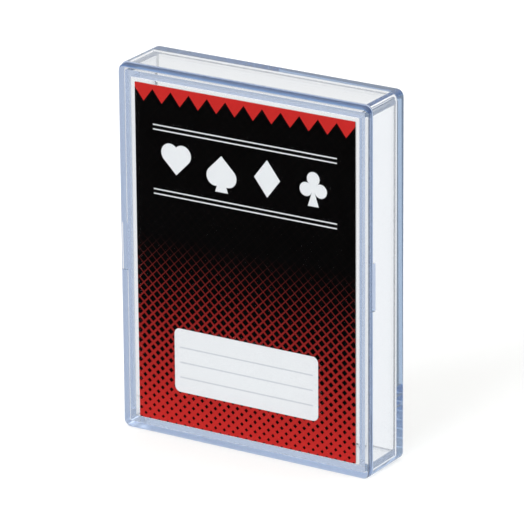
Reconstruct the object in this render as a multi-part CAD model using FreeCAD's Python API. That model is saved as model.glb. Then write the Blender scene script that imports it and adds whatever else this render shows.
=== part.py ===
import FreeCAD, Part
import os

# A clear two-piece card case. The front tray is a front panel with four inner walls behind it.
# The back tray is a back panel with four outer walls, which telescope over the inner ones.
# A printed insert card stands loose behind the front panel.
# The case stands on its short end. X runs across the width, +Y from front to back and +Z up,
# and the origin is on the floor under the middle of the case. All sizes are in millimetres.

# The card that the case holds, and its slack in the cavity at each side and each end
card_width = 63.5
card_height = 88.9
side_slack = 1.15
end_slack = 0.6

# Moulded panels and walls
front_panel = 1.7
back_panel = 2.7
inner_wall = 1.6
outer_wall = 1.45
cavity_depth = 12.6

# The front panel is smaller than the outer walls by this much all round. The front tray stands on the
# floor too, so it sits lower in the back tray by as much.
panel_inset = 0.15

# Gaps between the two trays: around the inner walls, at the front seam and at the inner walls' ends
slip_gap = 0.25
seam_gap = 0.1
wall_end_gap = 0.3

# Roundings of the four long corners, of the two outer faces' rims and of the walls' free edges
corner_round = 2.0
face_round = 0.65
rim_round = 0.2
flange_round = 0.12
cavity_corner_round = 0.25
least_sleeve_round = 0.3

# A rounding takes at most these shares of the panel, the wall or the corner that carries it
panel_round_share = 0.6
wall_round_share = 0.4
corner_round_share = 0.8

# Thumb notches in the front edge of the two long outer walls, and how far each is centred above the middle
notch_length = 12.5
right_notch_depth = 1.25
left_notch_depth = 0.45
right_notch_rise = 1.6
left_notch_rise = -0.2
notch_corner_round = 0.2

# Printed insert card
insert_thickness = 0.36
insert_corner_round = 0.3
insert_panel_gap = 0.08
insert_floor_gap = 0.05

# How far a cutting block runs past what it cuts, and how closely an edge lies in a plane or along an axis
overrun = 1.0
plane_tolerance = 0.000001
parallel_share = 0.9

# Sizes that follow from the ones above, from the cavity outwards
cavity_width = card_width + 2 * side_slack
cavity_height = card_height + 2 * end_slack
sleeve_width = cavity_width + 2 * inner_wall
sleeve_height = cavity_height + 2 * inner_wall
pocket_width = sleeve_width + 2 * slip_gap
pocket_height = sleeve_height + 2 * slip_gap
case_width = pocket_width + 2 * outer_wall
case_height = pocket_height + 2 * outer_wall
case_depth = front_panel + cavity_depth + back_panel

# Places along the depth and the height
front_face = -case_depth / 2
front_panel_back = front_face + front_panel
outer_rim = front_panel_back + seam_gap
back_face = case_depth / 2
back_panel_front = back_face - back_panel
sleeve_end = back_panel_front - wall_end_gap
middle_height = case_height / 2
cavity_floor = middle_height - cavity_height / 2 - panel_inset

# The nested corners share one centre, as long as the sleeve keeps its least rounding
pocket_corner_round = max(corner_round - outer_wall, least_sleeve_round + slip_gap)
sleeve_corner_round = pocket_corner_round - slip_gap


def edges_along(shape, axis):
    """Edges of a shape that run along an axis."""
    return [edge for edge in shape.Edges if abs(edge.tangentAt(edge.FirstParameter).dot(axis)) > parallel_share]


def edges_at_depth(shape, depth):
    """Edges of a shape that lie wholly in the plane at one depth."""
    def lies_there(box):
        return max(abs(box.YMin - depth), abs(box.YMax - depth)) < plane_tolerance
    return [edge for edge in shape.Edges if lies_there(edge.BoundBox)]


def block_with_corners(width, height, corner, depth_from, depth_to):
    """Block on the middle of the case with four rounded long corners, between two depths."""
    low_corner = FreeCAD.Vector(-width / 2, depth_from, middle_height - height / 2)
    block = Part.makeBox(width, depth_to - depth_from, height, low_corner)
    return block.makeFillet(corner, edges_along(block, FreeCAD.Vector(0, 1, 0)))


def face_rounding(panel):
    return min(face_round, panel_round_share * panel, corner_round_share * corner_round)


def make_front_tray():
    """Front panel with the four inner walls that slide into the back tray."""
    panel = block_with_corners(case_width - 2 * panel_inset, case_height - 2 * panel_inset, corner_round,
                               front_face, front_panel_back)
    panel = panel.makeFillet(face_rounding(front_panel), edges_at_depth(panel, front_face))
    panel = panel.makeFillet(flange_round, edges_at_depth(panel, front_panel_back))
    sleeve = block_with_corners(sleeve_width, sleeve_height, sleeve_corner_round, front_panel_back, sleeve_end)
    sleeve = sleeve.cut(block_with_corners(cavity_width, cavity_height, cavity_corner_round,
                                           front_panel_back, sleeve_end))
    end_round = min(rim_round, wall_round_share * inner_wall, corner_round_share * sleeve_corner_round)
    sleeve = sleeve.makeFillet(end_round, edges_at_depth(sleeve, sleeve_end))
    tray = panel.fuse(sleeve).removeSplitter()
    return tray.translated(FreeCAD.Vector(0, 0, -panel_inset))


def make_thumb_notch(side, depth, rise):
    """Block that cuts one thumb notch into a long outer wall, on the side given as -1 or 1."""
    reach = outer_wall + 2 * overrun
    middle_of_wall = side * (case_width - outer_wall) / 2
    depth_from = outer_rim - overrun
    depth_to = outer_rim + depth
    foot = middle_height + rise - notch_length / 2
    low_corner = FreeCAD.Vector(middle_of_wall - reach / 2, depth_from, foot)
    block = Part.makeBox(reach, depth_to - depth_from, notch_length, low_corner)
    deep_edges = edges_along(Part.Compound(edges_at_depth(block, depth_to)), FreeCAD.Vector(1, 0, 0))
    deep_round = min(notch_corner_round, wall_round_share * depth)
    return block.makeFillet(deep_round, deep_edges)


def make_back_tray():
    """Back panel with the four outer walls, notched for a thumb on both long sides."""
    tray = block_with_corners(case_width, case_height, corner_round, outer_rim, back_face)
    tray = tray.makeFillet(face_rounding(back_panel), edges_at_depth(tray, back_face))
    tray = tray.cut(block_with_corners(pocket_width, pocket_height, pocket_corner_round,
                                       outer_rim - overrun, back_panel_front))
    tray = tray.makeFillet(min(rim_round, wall_round_share * outer_wall), edges_at_depth(tray, outer_rim))
    tray = tray.cut(make_thumb_notch(1, right_notch_depth, right_notch_rise))
    tray = tray.cut(make_thumb_notch(-1, left_notch_depth, left_notch_rise))
    return tray.removeSplitter()


def make_insert_card():
    """Printed card, standing on the cavity's floor behind the front panel."""
    card_front = front_panel_back + insert_panel_gap
    low_corner = FreeCAD.Vector(-card_width / 2, card_front, cavity_floor + insert_floor_gap)
    card = Part.makeBox(card_width, insert_thickness, card_height, low_corner)
    return card.makeFillet(insert_corner_round, edges_along(card, FreeCAD.Vector(0, 1, 0)))


def main():
    os.makedirs("parts", exist_ok=True)
    pieces = {
        "front_tray": make_front_tray(),
        "back_tray": make_back_tray(),
        "insert_card": make_insert_card(),
    }
    for name, shape in pieces.items():
        shape.exportStep("parts/" + name + ".step")
        print(name, len(shape.Solids), "solid, valid", shape.isValid(), "volume", round(shape.Volume, 1))
    print("case", case_width, case_depth, case_height, "cavity", cavity_width, cavity_depth, cavity_height)


main()
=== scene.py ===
import math

import bmesh
import bpy
from mathutils import Matrix, Vector


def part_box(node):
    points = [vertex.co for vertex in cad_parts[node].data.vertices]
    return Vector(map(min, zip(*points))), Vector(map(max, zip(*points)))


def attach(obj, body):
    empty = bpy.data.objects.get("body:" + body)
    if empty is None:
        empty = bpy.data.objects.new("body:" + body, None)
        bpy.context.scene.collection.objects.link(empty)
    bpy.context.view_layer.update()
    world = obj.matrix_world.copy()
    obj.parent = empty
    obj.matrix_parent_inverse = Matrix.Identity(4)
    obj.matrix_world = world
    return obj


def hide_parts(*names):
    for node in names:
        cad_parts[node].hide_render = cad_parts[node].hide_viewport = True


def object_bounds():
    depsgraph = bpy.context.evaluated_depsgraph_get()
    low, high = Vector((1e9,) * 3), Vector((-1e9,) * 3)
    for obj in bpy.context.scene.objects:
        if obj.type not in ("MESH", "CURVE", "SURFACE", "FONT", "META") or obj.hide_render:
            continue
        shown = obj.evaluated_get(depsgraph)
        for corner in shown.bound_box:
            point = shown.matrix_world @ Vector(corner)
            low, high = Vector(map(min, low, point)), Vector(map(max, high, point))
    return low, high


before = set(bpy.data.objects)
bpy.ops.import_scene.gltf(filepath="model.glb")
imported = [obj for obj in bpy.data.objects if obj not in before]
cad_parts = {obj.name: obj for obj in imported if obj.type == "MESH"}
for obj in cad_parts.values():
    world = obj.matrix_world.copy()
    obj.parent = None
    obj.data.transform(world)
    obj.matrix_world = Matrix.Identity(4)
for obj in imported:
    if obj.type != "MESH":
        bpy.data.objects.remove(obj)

mm = 0.001
hair = 0.002 * mm            # two places closer than this are the same
facing = 0.9                 # a normal with more than this along an axis faces that way
standing = 0.5               # a normal with less than this along an axis stands across it
leaning = 0.3                # a normal with more than this along an axis leans that way
almostFlat = 0.97            # a normal with less than this along an axis belongs to a rounding
smoothAngle = 40             # degrees, sharper edges stay sharp
flatWeight = 100             # keeps large faces flat beside their roundings
facets = {"corner": 10, "face": 7, "fine": 4, "rim": 3, "paper": 2}    # in a rounding, by its kind
mixFactor, mixFirst, mixSecond, mixResult = 0, 6, 7, 2                 # sockets of a colour Mix node
plainWhite = (1.0, 1.0, 1.0, 1.0)

cadLow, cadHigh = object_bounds()
caseMiddle = (cadLow + cadHigh) / 2
print("frame loaded, case size in mm", [round(side / mm, 2) for side in cadHigh - cadLow])


def linear(hexColour):  # sRGB hex to the linear colour that a socket takes
    channels = [int(hexColour[i:i + 2], 16) / 255 for i in (1, 3, 5)]
    return [c / 12.92 if c <= 0.04045 else ((c + 0.055) / 1.055) ** 2.4 for c in channels] + [1.0]


def addNode(tree, kind, settings, inputs):  # a node for a value stands for its first output
    node = tree.nodes.new(kind)
    for name, value in settings.items():
        setattr(node, name, value)
    for name, value in inputs.items() if isinstance(inputs, dict) else enumerate(inputs):
        if isinstance(value, bpy.types.Node):
            value = value.outputs[0]
        if isinstance(value, bpy.types.NodeSocket):
            tree.links.new(value, node.inputs[name])
        else:
            node.inputs[name].default_value = value
    return node


def newMaterial(name):
    material = bpy.data.materials.new(name)
    material.use_nodes = True
    material.node_tree.nodes.clear()
    return material, material.node_tree


# Modelling helpers: each picks by place or normal, then runs one operator
def startBlock(name, low, high):
    bpy.ops.object.select_all(action="DESELECT")
    bpy.ops.mesh.primitive_cube_add(size=1, location=(low + high) / 2, scale=high - low)
    block = bpy.context.object
    block.name = block.data.name = name
    bpy.ops.object.transform_apply(location=True, rotation=True, scale=True)
    return block


def pickEdges(block, wanted):
    bpy.ops.mesh.select_mode(type="EDGE")
    bpy.ops.mesh.select_all(action="DESELECT")
    editMesh = bmesh.from_edit_mesh(block.data)
    for edge in editMesh.edges:
        edge.select_set(wanted(edge.verts[0].co, edge.verts[1].co))
    bmesh.update_edit_mesh(block.data)


def pickFaces(block, wanted):
    bpy.ops.mesh.select_mode(type="FACE")
    bpy.ops.mesh.select_all(action="DESELECT")
    editMesh = bmesh.from_edit_mesh(block.data)
    editMesh.normal_update()
    for face in editMesh.faces:
        face.select_set(wanted(face.normal, face.calc_center_median()))
    bmesh.update_edit_mesh(block.data)


def near(a, b):
    return abs(a - b) < hair


def roundPicked(radius, segments):
    bpy.ops.mesh.bevel(offset_type="OFFSET", offset=radius, segments=segments, affect="EDGES",
                       clamp_overlap=True)


def roundLongCorners(block, radius, segments):  # the four edges that run from front to back
    bpy.ops.object.mode_set(mode="EDIT")
    pickEdges(block, lambda a, b: near(a.x, b.x) and near(a.z, b.z))
    roundPicked(radius, segments)
    bpy.ops.object.mode_set(mode="OBJECT")


def roundRim(block, depth, radius, segments):  # edges that lie in one depth plane
    bpy.ops.object.mode_set(mode="EDIT")
    pickEdges(block, lambda a, b: near(a.y, depth) and near(b.y, depth))
    roundPicked(radius, segments)
    bpy.ops.object.mode_set(mode="OBJECT")


def useModifier(block, kind, **settings):
    bpy.ops.object.select_all(action="DESELECT")
    bpy.context.view_layer.objects.active = block
    block.select_set(True)
    modifier = block.modifiers.new(kind.lower(), kind)
    for name, value in settings.items():
        setattr(modifier, name, value)
    bpy.ops.object.modifier_apply(modifier=modifier.name)


def cutAway(block, cutter):
    useModifier(block, "BOOLEAN", operation="DIFFERENCE", solver="EXACT", object=cutter)
    bpy.data.objects.remove(cutter)


def polish(block):  # flat faces stay flat and roundings shade smooth
    bpy.ops.object.select_all(action="DESELECT")
    bpy.context.view_layer.objects.active = block
    block.select_set(True)
    bpy.ops.object.shade_smooth_by_angle(angle=math.radians(smoothAngle))
    useModifier(block, "WEIGHTED_NORMAL", mode="FACE_AREA", weight=flatWeight, keep_sharp=True)


# Front tray: a panel just smaller than the case's outline, with four inner walls behind it
frontSizes = {
    "panel": 1.7 * mm,
    "wall": 1.6 * mm,
    "wallInset": 1.55 * mm,       # from the panel's edge to the walls
    "cornerRound": 2.0 * mm,
    "faceRound": 0.65 * mm,
    "wallEndRound": 0.2 * mm,
    "cavityCornerRound": 0.25 * mm,
    "cavityFloorRound": 0.2 * mm,
}


def makeFrontTray():
    s = frontSizes
    low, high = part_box("front_tray")
    panelBack = low.y + s["panel"]
    tray = startBlock("frontTray", low, Vector((high.x, panelBack, high.z)))
    roundLongCorners(tray, s["cornerRound"], facets["corner"])
    bpy.ops.object.mode_set(mode="EDIT")
    pickFaces(tray, lambda normal, centre: normal.y > facing)
    bpy.ops.mesh.inset(thickness=s["wallInset"], depth=0, use_even_offset=True)
    bpy.ops.mesh.extrude_region_move(TRANSFORM_OT_translate={"value": (0, high.y - panelBack, 0)})
    bpy.ops.object.mode_set(mode="OBJECT")

    wallEdge = s["wallInset"] + s["wall"]
    cavityLow = Vector((low.x + wallEdge, panelBack, low.z + wallEdge))
    cavityHigh = Vector((high.x - wallEdge, high.y + s["wall"], high.z - wallEdge))
    cavity = startBlock("frontCavity", cavityLow, cavityHigh)
    roundLongCorners(cavity, s["cavityCornerRound"], facets["fine"])
    roundRim(cavity, panelBack, s["cavityFloorRound"], facets["fine"])
    cutAway(tray, cavity)

    roundRim(tray, low.y, s["faceRound"], facets["face"])
    roundRim(tray, high.y, s["wallEndRound"], facets["rim"])
    polish(tray)
    return tray


frontTray = makeFrontTray()
print("front tray made,", len(frontTray.data.polygons), "faces")

# Back tray: a panel with four outer walls, and a thumb notch in both long walls
backSizes = {
    "panel": 2.7 * mm,
    "wall": 1.45 * mm,
    "cornerRound": 2.0 * mm,
    "faceRound": 0.65 * mm,
    "rimRound": 0.2 * mm,
    "pocketFloorRound": 0.25 * mm,
    "notchLength": 12.5 * mm,
    "notchDepth": {1: 1.25 * mm, -1: 0.45 * mm},    # right and left one
    "notchRise": {1: 1.6 * mm, -1: -0.2 * mm},      # above the case's middle
    "notchRound": 0.2 * mm,
}


def makeBackTray():
    s = backSizes
    low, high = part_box("back_tray")
    tray = startBlock("backTray", low, high)
    roundLongCorners(tray, s["cornerRound"], facets["corner"])
    bpy.ops.object.mode_set(mode="EDIT")
    pickFaces(tray, lambda normal, centre: normal.y < -facing)
    bpy.ops.mesh.inset(thickness=s["wall"], depth=0, use_even_offset=True)
    pocketDepth = high.y - low.y - s["panel"]
    bpy.ops.mesh.extrude_region_move(TRANSFORM_OT_translate={"value": (0, pocketDepth, 0)})
    bpy.ops.object.mode_set(mode="OBJECT")
    roundRim(tray, high.y, s["faceRound"], facets["face"])
    roundRim(tray, high.y - s["panel"], s["pocketFloorRound"], facets["fine"])
    roundRim(tray, low.y, s["rimRound"], facets["rim"])
    for side in (-1, 1):
        foot = (low.z + high.z) / 2 + s["notchRise"][side] - s["notchLength"] / 2
        wallMiddle = side * (high.x - s["wall"] / 2)
        notchLow = Vector((wallMiddle - s["wall"], low.y - s["wall"], foot))
        notchEnd = low.y + s["notchDepth"][side]
        notchHigh = Vector((wallMiddle + s["wall"], notchEnd, foot + s["notchLength"]))
        notch = startBlock("notch", notchLow, notchHigh)
        bpy.ops.object.mode_set(mode="EDIT")
        pickEdges(notch, lambda a, b: near(a.y, notchEnd) and near(b.y, notchEnd) and near(a.z, b.z))
        roundPicked(s["notchRound"], facets["fine"])
        bpy.ops.object.mode_set(mode="OBJECT")
        cutAway(tray, notch)
    polish(tray)
    return tray


backTray = makeBackTray()
print("back tray made,", len(backTray.data.polygons), "faces")

# Insert card: printed board that stands loose behind the front panel
cardSizes = {
    "cornerRound": 0.3 * mm,
    "edgeRound": 0.05 * mm,
}


def makeInsertCard():
    s = cardSizes
    low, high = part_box("insert_card")
    card = startBlock("insertCard", low, high)
    roundLongCorners(card, s["cornerRound"], facets["fine"])
    roundRim(card, low.y, s["edgeRound"], facets["paper"])
    roundRim(card, high.y, s["edgeRound"], facets["paper"])
    polish(card)
    return card


insertCard = makeInsertCard()
print("insert card made,", len(insertCard.data.polygons), "faces")


# Clear polystyrene: hard polished moulding, strong refraction, blue where light runs along a wall, and
# painted blue shade on the free wall ends and the panel's edges
polystyreneLook = {
    "ior": 1.59,
    "absorbed": (0.05, 0.40, 0.76, 1.0),    # what is left of each colour, with the density below
    "absorbedDensity": 10.0,                # per metre
    "flowLength": 14 * mm,                  # slow waves that the melt leaves in the faces
    "flowHeight": 0.003 * mm,
    "flowDetail": 1.0,
    "hazeLength": 1.2 * mm,                 # fine handling haze
    "hazeDetail": 3.0,
    "hazeBetween": (0.5, 0.9),              # where the haze begins and is full
    "hazeMost": 0.035,
    "shadowTint": "#FAFBFD",
    "polishedTint": "#FFFFFF",
    "paintedEdgeShade": "#BBC9E8",                 # painted blue shade on the free ends of the walls, where dark light runs out of them; their satin roughness is straight from the mould's parting line
    "satinRoughness": 0.3,
    "edgeSatinAndShade": 0.8,                       # share of that satin finish and painted shade on the front panel's edge
    "rimSatinAndShade": 1.75,                       # the same on its upper rim, where the painted shade is deepest
}


def clearPolystyrene():
    s = polystyreneLook
    material, tree = newMaterial("clearPolystyrene")
    place = addNode(tree, "ShaderNodeTexCoord", {}, [])
    flow = addNode(tree, "ShaderNodeTexNoise", {}, {
        "Vector": place.outputs["Object"], "Scale": 1 / s["flowLength"],
        "Detail": s["flowDetail"]})
    haze = addNode(tree, "ShaderNodeTexNoise", {}, {
        "Vector": place.outputs["Object"], "Scale": 1 / s["hazeLength"],
        "Detail": s["hazeDetail"]})
    hazeFrom, hazeFull = s["hazeBetween"]
    polishedGloss = addNode(tree, "ShaderNodeMapRange", {}, {
        "Value": haze, "From Min": hazeFrom, "From Max": hazeFull, "To Min": 0.0, "To Max": s["hazeMost"]})
    # satin roughness and painted blue shade, read per face
    satinAndShadeFinish = addNode(tree, "ShaderNodeAttribute", {"attribute_name": "satinAndShade"}, [])
    gloss = addNode(tree, "ShaderNodeMath", {"operation": "MULTIPLY_ADD"}, [
        satinAndShadeFinish.outputs["Fac"], s["satinRoughness"], polishedGloss])
    # painted blue shade in the base colour of the free wall ends and the panel's edges
    paintedShadeTint = addNode(tree, "ShaderNodeMix", {"data_type": "RGBA", "clamp_factor": False}, {
        mixFactor: satinAndShadeFinish.outputs["Fac"], mixFirst: linear(s["polishedTint"]),
        mixSecond: linear(s["paintedEdgeShade"])})
    wave = addNode(tree, "ShaderNodeBump", {}, {
        "Height": flow, "Strength": 1.0, "Distance": s["flowHeight"]})
    plastic = addNode(tree, "ShaderNodeBsdfPrincipled", {}, {
        "Base Color": paintedShadeTint.outputs[mixResult], "Roughness": gloss, "IOR": s["ior"],
        "Transmission Weight": 1.0, "Normal": wave})
    passing = addNode(tree, "ShaderNodeBsdfTransparent", {}, {"Color": linear(s["shadowTint"])})
    rays = addNode(tree, "ShaderNodeLightPath", {}, [])
    surface = addNode(tree, "ShaderNodeMixShader", {}, [rays.outputs["Is Shadow Ray"], plastic, passing])
    depth = addNode(tree, "ShaderNodeVolumeAbsorption", {}, {
        "Color": s["absorbed"], "Density": s["absorbedDensity"]})
    addNode(tree, "ShaderNodeOutputMaterial", {}, {"Surface": surface, "Volume": depth})
    return material


# Printed board: coated card with black ink, a red lattice that fades upwards and plain white marks
printLook = {
    "black": "#030303",
    "red": "#CF2F2B",
    "redHigh": "#2B1D1B",
    "white": "#F4F4F2",
    "rule": "#B9BCC2",
    "softness": 0.07,              # mm, edge of the ink
    "latticePitch": 2.6,           # mm
    "latticeTop": 50.0,            # mm above the card's foot, where the black diamonds close up
    "diamondShares": (0.18, 0.5),  # of the pitch, at the foot and where they close up
    "pennantLength": 5.3,
    "pennantFoot": 1.2,
    "pennantRise": 3.4,
    "suitRow": 70.0,
    "suitGap": 13.2,
    "suitSize": 3.6,
    "stemFlare": 0.32,             # how fast a stem widens downwards
    "lineHeights": (78.6, 77.4, 61.8, 60.6),
    "lineReach": 26.5,
    "lineHalf": 0.16,
    "panelMiddle": (0.0, 17.5),
    "panelHalf": (21.0, 8.5),
    "panelRound": 1.6,
    "panelRules": (13.0, 17.0, 21.0),
    "inkGloss": 0.5,
    "paperGloss": 0.6,
    "shine": 0.04,
    "grainLength": 0.4,            # mm, the board's own grain under the ink
    "grainDetail": 4.0,
    "grainShades": (0.88, 1.08),
    "grainStrength": 0.15,
    "grainHeight": 0.02 * mm,
}

# card suits in shares of their size: circles at either side, a slanted square and a stem
cardSuits = (
    {"circles": ((0.5, 0.5, 0.707),), "square": 1.0, "lean": 1.0, "stem": 0.0, "turn": 1},     # heart
    {"circles": ((0.5, 0.5, 0.707),), "square": 1.0, "lean": 1.0, "stem": 1.62, "turn": -1},   # spade
    {"circles": (), "square": 1.35, "lean": 1.3, "stem": 0.0, "turn": 1},                      # diamond
    {"circles": ((0.0, 0.62, 0.5), (0.58, -0.18, 0.5)), "square": 0.45, "lean": 1.0,
     "stem": 1.35, "turn": 1},                                                                 # club
)


def printedBoard():
    s = printLook
    cardLow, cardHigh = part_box("insert_card")
    cardHeight = (cardHigh.z - cardLow.z) / mm
    material, tree = newMaterial("printedBoard")
    place = addNode(tree, "ShaderNodeTexCoord", {}, [])
    inMillimetres = addNode(tree, "ShaderNodeMapping", {}, {
        "Vector": place.outputs["Object"], "Location": (0, 0, -cardLow.z / mm),
        "Scale": (1 / mm, 1 / mm, 1 / mm)})
    axes = addNode(tree, "ShaderNodeSeparateXYZ", {}, [inMillimetres])
    across, up = axes.outputs["X"], axes.outputs["Z"]

    # lattice of black diamonds on a red field, larger towards the top until they close up
    folds = []
    for way in ("ADD", "SUBTRACT"):
        slant = addNode(tree, "ShaderNodeMath", {"operation": way}, [across, up])
        cell = addNode(tree, "ShaderNodeMath", {"operation": "PINGPONG"}, [slant, s["latticePitch"] / 2])
        folds.append(cell)
    toEdge = addNode(tree, "ShaderNodeMath", {"operation": "MAXIMUM"}, folds)
    climb = addNode(tree, "ShaderNodeMapRange", {}, {
        "Value": up, "From Min": 0.0, "From Max": s["latticeTop"], "To Min": 0.0, "To Max": 1.0})
    smallest, largest = s["diamondShares"]
    swell = addNode(tree, "ShaderNodeMapRange", {}, {
        "Value": climb, "To Min": smallest * s["latticePitch"], "To Max": largest * s["latticePitch"]})
    past = addNode(tree, "ShaderNodeMath", {"operation": "SUBTRACT"}, [toEdge, swell])
    field = addNode(tree, "ShaderNodeMapRange", {}, {
        "Value": past, "From Min": -s["softness"], "From Max": s["softness"]})
    reds = addNode(tree, "ShaderNodeMix", {"data_type": "RGBA"}, {
        mixFactor: climb, mixFirst: linear(s["red"]), mixSecond: linear(s["redHigh"])})
    lattice = addNode(tree, "ShaderNodeMix", {"data_type": "RGBA"}, {
        mixFactor: field, mixFirst: linear(s["black"]), mixSecond: reds.outputs[mixResult]})

    # red pennants along the top edge
    saw = addNode(tree, "ShaderNodeMath", {"operation": "PINGPONG"}, [across, s["pennantLength"] / 2])
    teeth = addNode(tree, "ShaderNodeMapRange", {}, {
        "Value": saw, "From Max": s["pennantLength"] / 2, "To Min": cardHeight - s["pennantFoot"],
        "To Max": cardHeight - s["pennantFoot"] - s["pennantRise"]})
    overTeeth = addNode(tree, "ShaderNodeMath", {"operation": "SUBTRACT"}, [up, teeth])
    pennants = addNode(tree, "ShaderNodeMapRange", {}, {
        "Value": overTeeth, "From Min": -s["softness"], "From Max": s["softness"]})
    withPennants = addNode(tree, "ShaderNodeMix", {"data_type": "RGBA"}, {
        mixFactor: pennants, mixFirst: lattice.outputs[mixResult], mixSecond: linear(s["red"])})

    # the row of suits, each as the distance to its outline in mm
    size = s["suitSize"]
    whites = []
    for number, suit in enumerate(cardSuits):
        middle = (number - (len(cardSuits) - 1) / 2) * s["suitGap"]
        aside = addNode(tree, "ShaderNodeMath", {"operation": "SUBTRACT"}, [across, middle])
        fold = addNode(tree, "ShaderNodeMath", {"operation": "ABSOLUTE"}, [aside])
        lift = addNode(tree, "ShaderNodeMath", {"operation": "SUBTRACT"}, [up, s["suitRow"]])
        turned = addNode(tree, "ShaderNodeMath", {"operation": "MULTIPLY"}, [lift, suit["turn"]])
        spot = addNode(tree, "ShaderNodeCombineXYZ", {}, [fold, turned])
        tall = addNode(tree, "ShaderNodeMath", {"operation": "ABSOLUTE"}, [lift])
        wide = addNode(tree, "ShaderNodeMath", {"operation": "MULTIPLY_ADD"}, [fold, suit["lean"], tall])
        shape = addNode(tree, "ShaderNodeMath", {"operation": "MULTIPLY_ADD"}, [
            wide, math.sqrt(0.5), -suit["square"] * size * math.sqrt(0.5)])
        for x, y, radius in suit["circles"]:
            apart = addNode(tree, "ShaderNodeVectorMath", {"operation": "DISTANCE"}, [
                spot, (x * size, y * size, 0)])
            ring = addNode(tree, "ShaderNodeMath", {"operation": "SUBTRACT"}, [
                apart.outputs["Value"], radius * size])
            shape = addNode(tree, "ShaderNodeMath", {"operation": "MINIMUM"}, [shape, ring])
        if suit["stem"]:    # widens downwards from the suit's middle to its foot
            flare = addNode(tree, "ShaderNodeMath", {"operation": "MULTIPLY_ADD"}, [
                lift, s["stemFlare"], fold])
            foot = addNode(tree, "ShaderNodeMath", {"operation": "SUBTRACT"}, [-suit["stem"] * size, lift])
            stem = addNode(tree, "ShaderNodeMath", {"operation": "MAXIMUM"}, [flare, foot])
            shape = addNode(tree, "ShaderNodeMath", {"operation": "MINIMUM"}, [shape, stem])
        whites.append(shape)

    # thin ruled lines above and below the suits
    reach = addNode(tree, "ShaderNodeMath", {"operation": "ABSOLUTE"}, [across])
    pastReach = addNode(tree, "ShaderNodeMath", {"operation": "SUBTRACT"}, [reach, s["lineReach"]])
    for height in s["lineHeights"]:
        offLine = addNode(tree, "ShaderNodeMath", {"operation": "SUBTRACT"}, [up, height])
        away = addNode(tree, "ShaderNodeMath", {"operation": "ABSOLUTE"}, [offLine])
        stroke = addNode(tree, "ShaderNodeMath", {"operation": "SUBTRACT"}, [away, s["lineHalf"]])
        whites.append(addNode(tree, "ShaderNodeMath", {"operation": "MAXIMUM"}, [stroke, pastReach]))

    # write-on panel with rounded corners
    corner = []
    for value, middle, half in zip((across, up), s["panelMiddle"], s["panelHalf"]):
        offMiddle = addNode(tree, "ShaderNodeMath", {"operation": "SUBTRACT"}, [value, middle])
        away = addNode(tree, "ShaderNodeMath", {"operation": "ABSOLUTE"}, [offMiddle])
        over = addNode(tree, "ShaderNodeMath", {"operation": "SUBTRACT"}, [away, half - s["panelRound"]])
        corner.append(addNode(tree, "ShaderNodeMath", {"operation": "MAXIMUM"}, [over, 0.0]))
    overCorner = addNode(tree, "ShaderNodeCombineXYZ", {}, corner)
    fromCorner = addNode(tree, "ShaderNodeVectorMath", {"operation": "LENGTH"}, [overCorner])
    panel = addNode(tree, "ShaderNodeMath", {"operation": "SUBTRACT"}, [
        fromCorner.outputs["Value"], s["panelRound"]])
    whites.append(panel)

    nearest = whites[0]
    for shape in whites[1:]:
        nearest = addNode(tree, "ShaderNodeMath", {"operation": "MINIMUM"}, [nearest, shape])
    paper = addNode(tree, "ShaderNodeMapRange", {}, {
        "Value": nearest, "From Min": -s["softness"], "From Max": s["softness"],
        "To Min": 1.0, "To Max": 0.0})
    withWhite = addNode(tree, "ShaderNodeMix", {"data_type": "RGBA"}, {
        mixFactor: paper, mixFirst: withPennants.outputs[mixResult], mixSecond: linear(s["white"])})

    # fine grey rules on the panel
    inPanel = addNode(tree, "ShaderNodeMath", {"operation": "ADD"}, [panel, s["panelRound"]])
    nearRule = None
    for height in s["panelRules"]:
        offRule = addNode(tree, "ShaderNodeMath", {"operation": "SUBTRACT"}, [up, height])
        away = addNode(tree, "ShaderNodeMath", {"operation": "ABSOLUTE"}, [offRule])
        nearRule = away if nearRule is None else addNode(
            tree, "ShaderNodeMath", {"operation": "MINIMUM"}, [nearRule, away])
    ruleStroke = addNode(tree, "ShaderNodeMath", {"operation": "SUBTRACT"}, [nearRule, s["lineHalf"]])
    ruleInside = addNode(tree, "ShaderNodeMath", {"operation": "MAXIMUM"}, [ruleStroke, inPanel])
    ruled = addNode(tree, "ShaderNodeMapRange", {}, {
        "Value": ruleInside, "From Min": -s["softness"], "From Max": s["softness"],
        "To Min": 1.0, "To Max": 0.0})
    inks = addNode(tree, "ShaderNodeMix", {"data_type": "RGBA"}, {
        mixFactor: ruled, mixFirst: withWhite.outputs[mixResult], mixSecond: linear(s["rule"])})

    # uneven ink and the board's own grain
    grain = addNode(tree, "ShaderNodeTexNoise", {}, {
        "Vector": inMillimetres, "Scale": 1 / s["grainLength"], "Detail": s["grainDetail"]})
    darkest, lightest = s["grainShades"]
    shade = addNode(tree, "ShaderNodeMapRange", {}, {"Value": grain, "To Min": darkest, "To Max": lightest})
    printed = addNode(tree, "ShaderNodeMix", {"data_type": "RGBA", "blend_type": "MULTIPLY"}, {
        mixFactor: 1.0, mixFirst: inks.outputs[mixResult], mixSecond: shade})
    gloss = addNode(tree, "ShaderNodeMapRange", {}, {
        "Value": paper, "To Min": s["inkGloss"], "To Max": s["paperGloss"]})
    relief = addNode(tree, "ShaderNodeBump", {}, {
        "Height": grain, "Strength": s["grainStrength"], "Distance": s["grainHeight"]})
    coated = addNode(tree, "ShaderNodeBsdfPrincipled", {}, {
        "Base Color": printed.outputs[mixResult], "Roughness": gloss, "Specular IOR Level": s["shine"],
        "Normal": relief})
    addNode(tree, "ShaderNodeOutputMaterial", {}, {"Surface": coated})
    return material


# Board fibre: the card's bare back and cut edges, off-white with faint flecks
fibreLook = {
    "light": "#EFECE6",
    "dark": "#D9D4CA",
    "fleck": 0.9 * mm,
    "fleckDetail": 5.0,
    "fleckRoughness": 0.7,
    "fleckStrength": 0.3,
    "fleckHeight": 0.03 * mm,
    "gloss": 0.8,
    "shine": 0.2,
}


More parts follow.
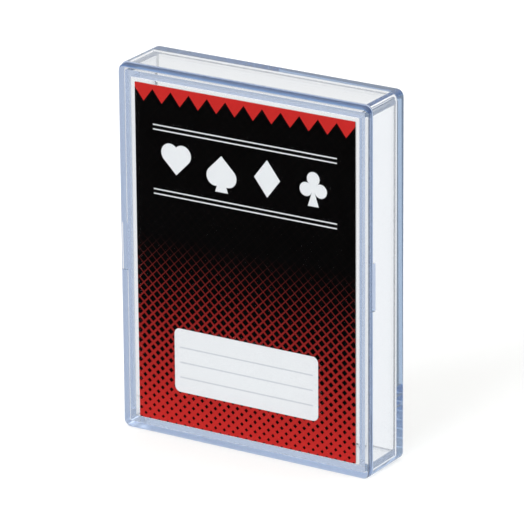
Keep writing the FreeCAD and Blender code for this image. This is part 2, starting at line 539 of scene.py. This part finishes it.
def boardFibre():
    s = fibreLook
    material, tree = newMaterial("boardFibre")
    place = addNode(tree, "ShaderNodeTexCoord", {}, [])
    flecks = addNode(tree, "ShaderNodeTexNoise", {}, {
        "Vector": place.outputs["Object"], "Scale": 1 / s["fleck"], "Detail": s["fleckDetail"],
        "Roughness": s["fleckRoughness"]})
    tone = addNode(tree, "ShaderNodeMix", {"data_type": "RGBA"}, {
        mixFactor: flecks, mixFirst: linear(s["dark"]), mixSecond: linear(s["light"])})
    relief = addNode(tree, "ShaderNodeBump", {}, {
        "Height": flecks, "Strength": s["fleckStrength"], "Distance": s["fleckHeight"]})
    fibre = addNode(tree, "ShaderNodeBsdfPrincipled", {}, {
        "Base Color": tone.outputs[mixResult], "Roughness": s["gloss"], "Specular IOR Level": s["shine"],
        "Normal": relief})
    addNode(tree, "ShaderNodeOutputMaterial", {}, {"Surface": fibre})
    return material


moulding = clearPolystyrene()
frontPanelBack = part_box("front_tray")[0].y + frontSizes["panel"]
for tray, way, end in ((frontTray, 1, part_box("front_tray")[1].y),
                       (backTray, -1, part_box("back_tray")[0].y + backSizes["notchDepth"][1])):
    tray.data.materials.append(moulding)
    # faces that get the satin finish and the painted blue shade: free wall ends, the panel's upper rim and
    # its edge
    satinAndShade = tray.data.attributes.new("satinAndShade", "FLOAT", "FACE")
    for face in tray.data.polygons:
        onPanel = face.center.y < frontPanelBack
        if way * face.normal.y > facing and way * (face.center.y - end) > -hair:
            satinAndShade.data[face.index].value = 1.0
        elif onPanel and face.normal.z > leaning and abs(face.normal.y) < almostFlat:
            satinAndShade.data[face.index].value = polystyreneLook["rimSatinAndShade"]
        elif onPanel and abs(face.normal.y) < standing:
            satinAndShade.data[face.index].value = polystyreneLook["edgeSatinAndShade"]
for material in (boardFibre(), printedBoard()):
    insertCard.data.materials.append(material)
for face in insertCard.data.polygons:
    face.material_index = 1 if face.normal.y < -facing else 0    # the print is on the front alone
print("materials made")

for piece, body, node, slot in ((frontTray, "front", "front_tray", "clear_polystyrene"),
                                (backTray, "back", "back_tray", "clear_polystyrene"),
                                (insertCard, "insert", "insert_card", "printed_card")):
    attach(piece, body)
    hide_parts(node)

# Camera at the photograph's viewing angle
photoView = {
    "azimuth": 31.8738,       # degrees round from the front, towards the right side
    "elevation": 19.7732,
    "roll": -0.4381,
    "distance": 1235.69 * mm,
    "aside": 0.258 * mm,
    "above": -0.2506 * mm,
    "focalPixels": 4979.2,
    "picturePixels": 524,
}


def placeCamera():
    v = photoView
    a, e, r = (math.radians(v[name]) for name in ("azimuth", "elevation", "roll"))
    back = Vector((math.sin(a) * math.cos(e), -math.cos(a) * math.cos(e), math.sin(e)))
    right = Vector((math.cos(a), math.sin(a), 0))
    up = back.cross(right)
    across = math.cos(r) * right + math.sin(r) * up
    upward = math.cos(r) * up - math.sin(r) * right
    lens = bpy.data.cameras.new("photoCamera")
    lens.lens = v["focalPixels"] / v["picturePixels"] * lens.sensor_width
    camera = bpy.data.objects.new("photoCamera", lens)
    bpy.context.scene.collection.objects.link(camera)
    place = caseMiddle + v["aside"] * across + v["above"] * upward + v["distance"] * back
    turn = Matrix((across, upward, back)).transposed().to_4x4()
    camera.matrix_world = Matrix.Translation(place) @ turn
    bpy.context.scene.camera = camera


placeCamera()

# Studio: pale floor, soft dome, three broad lamps and a small dark flag that the front panel mirrors
studio = {
    "floorSide": 8.0,
    "floorDrop": 0.1 * mm,
    "floorColour": "#E9E9E7",
    "floorRoughness": 0.9,
    "floorGlow": 0.28,                     # towards the camera only, so the open floor is white
    "domeFill": 0.6,
    "domeLeft": plainWhite,
    "domeRight": (0.86, 0.89, 0.94, 1.0),
    "sideBlend": 0.3,                      # half width of the blend from left to right
    "domeTop": 0.85,
    "topHeights": (-0.1, 0.3),             # sines of the heights over which the dome dims
    "domeFront": 0.4,
    "frontBlend": (-0.3, 0.4),             # where it is at that level and where it is full, front to back
    "firstBounce": 0.5,                    # light that runs straight through has fewer, and sees a full front
    "overheadShare": 3.0,                  # a soft box straight above, which only roundings catch
    "overheadHeights": (0.45, 0.75),       # where it begins and is full, as the sine of its height
    "farShare": 0.8,                       # left of light that has run far along a wall
    "farDepths": (10.0, 18.0),             # bounces over which it fades
    "flagTowards": (-0.497, -0.799, -0.338),
    "flagHalfAngles": (5.0, 9.0),          # degrees, dark inside the first and open outside the second
    "flagShare": 0.005,
    "flagDepth": 4.5,                      # bounces, so light that has run along a wall misses it
    "bounces": 160,                        # light runs far along the clear walls
    "lamps": (
        {"name": "keyLamp", "place": (-0.6, -2.15, 0.85), "side": 1.6, "watts": 63.0},
        {"name": "topLamp", "place": (0.3, 0.4, 1.8), "side": 1.6, "watts": 8.0},
        {"name": "backLamp", "place": (0.7, 2.3, 0.9), "side": 1.6, "watts": 14.0},
    ),
}


def makeFloor():
    s = studio
    bpy.ops.object.select_all(action="DESELECT")
    bpy.ops.mesh.primitive_plane_add(size=s["floorSide"], location=(0, 0, -s["floorDrop"]))
    floor = bpy.context.object
    floor.name = "studioFloor"
    material, tree = newMaterial("studioFloor")
    rays = addNode(tree, "ShaderNodeLightPath", {}, [])
    glow = addNode(tree, "ShaderNodeMath", {"operation": "MULTIPLY"}, [
        rays.outputs["Is Camera Ray"], s["floorGlow"]])
    paint = addNode(tree, "ShaderNodeBsdfPrincipled", {}, {
        "Base Color": linear(s["floorColour"]), "Roughness": s["floorRoughness"], "Specular IOR Level": 0.0,
        "Emission Color": plainWhite, "Emission Strength": glow})
    addNode(tree, "ShaderNodeOutputMaterial", {}, {"Surface": paint})
    floor.data.materials.append(material)
    floor.visible_glossy = False           # the clear plastic shows the dome instead
    floor.visible_transmission = False


def makeDome():
    s = studio
    world = bpy.data.worlds.new("studioDome")
    bpy.context.scene.world = world
    world.use_nodes = True
    tree = world.node_tree
    tree.nodes.clear()
    where = addNode(tree, "ShaderNodeTexCoord", {}, [])
    axes = addNode(tree, "ShaderNodeSeparateXYZ", {}, [where.outputs["Generated"]])
    rightwards = addNode(tree, "ShaderNodeMapRange", {}, {
        "Value": axes.outputs["X"], "From Min": -s["sideBlend"], "From Max": s["sideBlend"]})
    sides = addNode(tree, "ShaderNodeMix", {"data_type": "RGBA"}, {
        mixFactor: rightwards, mixFirst: s["domeLeft"], mixSecond: s["domeRight"]})
    topFrom, topFull = s["topHeights"]
    topShare = addNode(tree, "ShaderNodeMapRange", {}, {
        "Value": axes.outputs["Z"], "From Min": topFrom, "From Max": topFull,
        "To Min": 1.0, "To Max": s["domeTop"]})
    flagAt = addNode(tree, "ShaderNodeVectorMath", {"operation": "DOT_PRODUCT"}, [
        where.outputs["Generated"], s["flagTowards"]])
    inner, outer = (math.cos(math.radians(angle)) for angle in s["flagHalfAngles"])
    flagShare = addNode(tree, "ShaderNodeMapRange", {}, {
        "Value": flagAt.outputs["Value"], "From Min": outer, "From Max": inner,
        "To Min": 1.0, "To Max": s["flagShare"]})
    rays = addNode(tree, "ShaderNodeLightPath", {}, [])
    pastFlag = addNode(tree, "ShaderNodeMath", {"operation": "GREATER_THAN"}, [
        rays.outputs["Ray Depth"], s["flagDepth"]])
    flagged = addNode(tree, "ShaderNodeMath", {"operation": "MAXIMUM"}, [flagShare, pastFlag])
    farFrom, farFull = s["farDepths"]
    farShare = addNode(tree, "ShaderNodeMapRange", {}, {
        "Value": rays.outputs["Ray Depth"], "From Min": farFrom, "From Max": farFull,
        "To Min": 1.0, "To Max": s["farShare"]})
    frontFull, backFull = s["frontBlend"]
    backShare = addNode(tree, "ShaderNodeMapRange", {}, {
        "Value": axes.outputs["Y"], "From Min": frontFull, "From Max": backFull,
        "To Min": s["domeFront"], "To Max": 1.0})
    turned = addNode(tree, "ShaderNodeMath", {"operation": "MAXIMUM"}, [
        rays.outputs["Glossy Depth"], rays.outputs["Diffuse Depth"]])
    straight = addNode(tree, "ShaderNodeMath", {"operation": "LESS_THAN"}, [turned, s["firstBounce"]])
    backShare = addNode(tree, "ShaderNodeMath", {"operation": "MAXIMUM"}, [backShare, straight])
    overheadFrom, overheadFull = s["overheadHeights"]
    overhead = addNode(tree, "ShaderNodeMapRange", {}, {
        "Value": axes.outputs["Z"], "From Min": overheadFrom, "From Max": overheadFull,
        "To Min": 1.0, "To Max": s["overheadShare"]})
    level = topShare
    for share in (backShare, overhead, flagged, farShare):
        level = addNode(tree, "ShaderNodeMath", {"operation": "MULTIPLY"}, [level, share])
    seen = addNode(tree, "ShaderNodeBackground", {}, {"Color": sides.outputs[mixResult], "Strength": level})
    fill = addNode(tree, "ShaderNodeBackground", {}, {"Color": plainWhite, "Strength": s["domeFill"]})
    backdrop = addNode(tree, "ShaderNodeBackground", {}, {"Color": plainWhite, "Strength": 1.0})
    bent = addNode(tree, "ShaderNodeMath", {"operation": "MAXIMUM"}, [
        rays.outputs["Is Glossy Ray"], rays.outputs["Is Transmission Ray"]])
    light = addNode(tree, "ShaderNodeMixShader", {}, [bent, fill, seen])
    light = addNode(tree, "ShaderNodeMixShader", {}, [rays.outputs["Is Camera Ray"], light, backdrop])
    addNode(tree, "ShaderNodeOutputWorld", {}, {"Surface": light})


def makeLamps():
    for s in studio["lamps"]:
        light = bpy.data.lights.new(s["name"], "AREA")
        light.size = s["side"]
        light.energy = s["watts"]
        lamp = bpy.data.objects.new(s["name"], light)
        bpy.context.scene.collection.objects.link(lamp)
        place = Vector(s["place"])
        turn = (place - caseMiddle).to_track_quat("Z", "Y").to_matrix().to_4x4()    # shines on the case
        lamp.matrix_world = Matrix.Translation(place) @ turn
        lamp.visible_glossy = False
        lamp.visible_transmission = False


makeFloor()
makeDome()
makeLamps()

scene = bpy.context.scene
scene.view_settings.view_transform = "Standard"
scene.cycles.max_bounces = studio["bounces"]
scene.cycles.transmission_bounces = studio["bounces"]
scene.cycles.glossy_bounces = studio["bounces"]
print("studio set")
